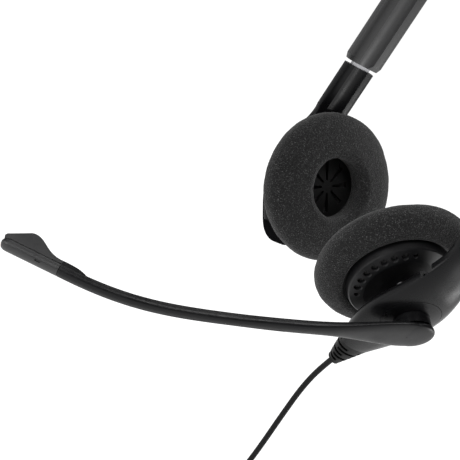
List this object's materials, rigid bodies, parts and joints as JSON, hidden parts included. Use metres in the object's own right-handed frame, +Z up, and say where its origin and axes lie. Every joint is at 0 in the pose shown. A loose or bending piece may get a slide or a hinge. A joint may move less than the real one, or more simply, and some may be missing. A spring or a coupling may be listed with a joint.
{
  "type": "office headset",
  "caption": "Two-sided office headset with foam ear cushions on ball joints, a sliding headband, a swinging microphone boom and a corded quick-disconnect plug.",
  "frame": {"origin": "middle of the wearer's head, halfway between the two foam cushions", "axes": "+Z up towards the top of the headband, -Y the way the wearer looks, +X the wearer's left, the side of the microphone boom and the cord"},
  "size_m": [0.1181, 0.1568, 0.3103],
  "materials": {
    "shell_plastic": "fine satin moulding",
    "grille_plastic": "matt",
    "mic_plastic": "fine satin moulding",
    "liner_plastic": "smooth",
    "plug_plastic": "satin",
    "foam": "open-cell foam",
    "felt": "felt",
    "film": "thin film",
    "soft_liner": "soft matt",
    "cord_jacket": "matt jacket",
    "steel": "spring steel",
    "wire": "stranded copper",
    "contacts": "gold-plated",
    "board": "lacquered board",
    "capsule": "smooth can",
    "strap": "hook and loop"
  },
  "bodies": {
    "headband": {"headband_band": "shell_plastic", "headband_spring": "steel", "headband_liner": "soft_liner", "crossover_lead": "cord_jacket", "left_sleeve": "shell_plastic", "right_sleeve": "shell_plastic", "left_click_spring": "steel", "right_click_spring": "steel"},
    "left_arm": {"left_cup_casing": "shell_plastic", "left_cup_cover": "shell_plastic", "left_slider_strip": "steel", "left_cover_screws": "steel", "left_ball_retainer": "grille_plastic", "boom_base": "shell_plastic", "boom_click_washer": "steel", "left_terminal_board": "board", "strain_relief": "cord_jacket", "cord": "cord_jacket", "cord_coil": "cord_jacket", "cord_tie": "strap", "cord_tail": "cord_jacket", "plug_body": "plug_plastic", "plug_latch": "plug_plastic", "plug_insert": "liner_plastic", "plug_contacts": "contacts"},
    "left_liner": {"left_ball_liner": "liner_plastic"},
    "left_speaker": {"left_ball_stud": "liner_plastic", "left_rear_cover": "shell_plastic", "left_front_grille": "grille_plastic", "left_damping_felt": "felt", "left_vent_felt": "felt", "left_diaphragm": "film", "left_driver_basket": "grille_plastic", "left_driver_magnet": "steel", "left_cushion": "foam"},
    "right_arm": {"right_cup_casing": "shell_plastic", "right_cup_cover": "shell_plastic", "right_slider_strip": "steel", "right_cover_screws": "steel", "right_ball_retainer": "grille_plastic"},
    "right_liner": {"right_ball_liner": "liner_plastic"},
    "right_speaker": {"right_ball_stud": "liner_plastic", "right_rear_cover": "shell_plastic", "right_front_grille": "grille_plastic", "right_damping_felt": "felt", "right_vent_felt": "felt", "right_diaphragm": "film", "right_driver_basket": "grille_plastic", "right_driver_magnet": "steel", "right_cushion": "foam"},
    "boom": {"boom_turret": "shell_plastic", "boom_shell": "shell_plastic", "boom_wire_cover": "shell_plastic", "boom_wire": "wire", "boom_retainer": "steel", "mic_housing": "mic_plastic", "mic_fin": "mic_plastic", "mic_capsule": "capsule", "mic_felt": "felt"}
  },
  "joints": [
    {"name": "left_slide", "type": "slide", "parent": "headband", "child": "left_arm", "axis": [0, 0, -1], "range_m": [0, 0.02]},
    {"name": "right_slide", "type": "slide", "parent": "headband", "child": "right_arm", "axis": [0, 0, -1], "range_m": [-0.0013, 0.0187]},
    {"name": "left_tilt", "type": "hinge", "parent": "left_arm", "child": "left_liner", "pos_m": [0.0426, 0, -0.0049], "axis": [0, 1, 0], "range_deg": [-1, 19]},
    {"name": "left_swivel", "type": "hinge", "parent": "left_liner", "child": "left_speaker", "pos_m": [0.0426, 0, -0.0049], "axis": [0.4695, 0, 0.8829], "range_deg": [-10, 10]},
    {"name": "right_tilt", "type": "hinge", "parent": "right_arm", "child": "right_liner", "pos_m": [-0.0426, 0, -0.0062], "axis": [0, -1, 0], "range_deg": [-7, 14]},
    {"name": "right_swivel", "type": "hinge", "parent": "right_liner", "child": "right_speaker", "pos_m": [-0.0426, 0, -0.0062], "axis": [-0.4695, 0, 0.8829], "range_deg": [-10, 10]},
    {"name": "boom_swing", "type": "hinge", "parent": "left_arm", "child": "boom", "pos_m": [0.0519, 0, -0.00871], "axis": [-0.8829, 0, 0.4695], "range_deg": [-25, 245]}
  ]
}
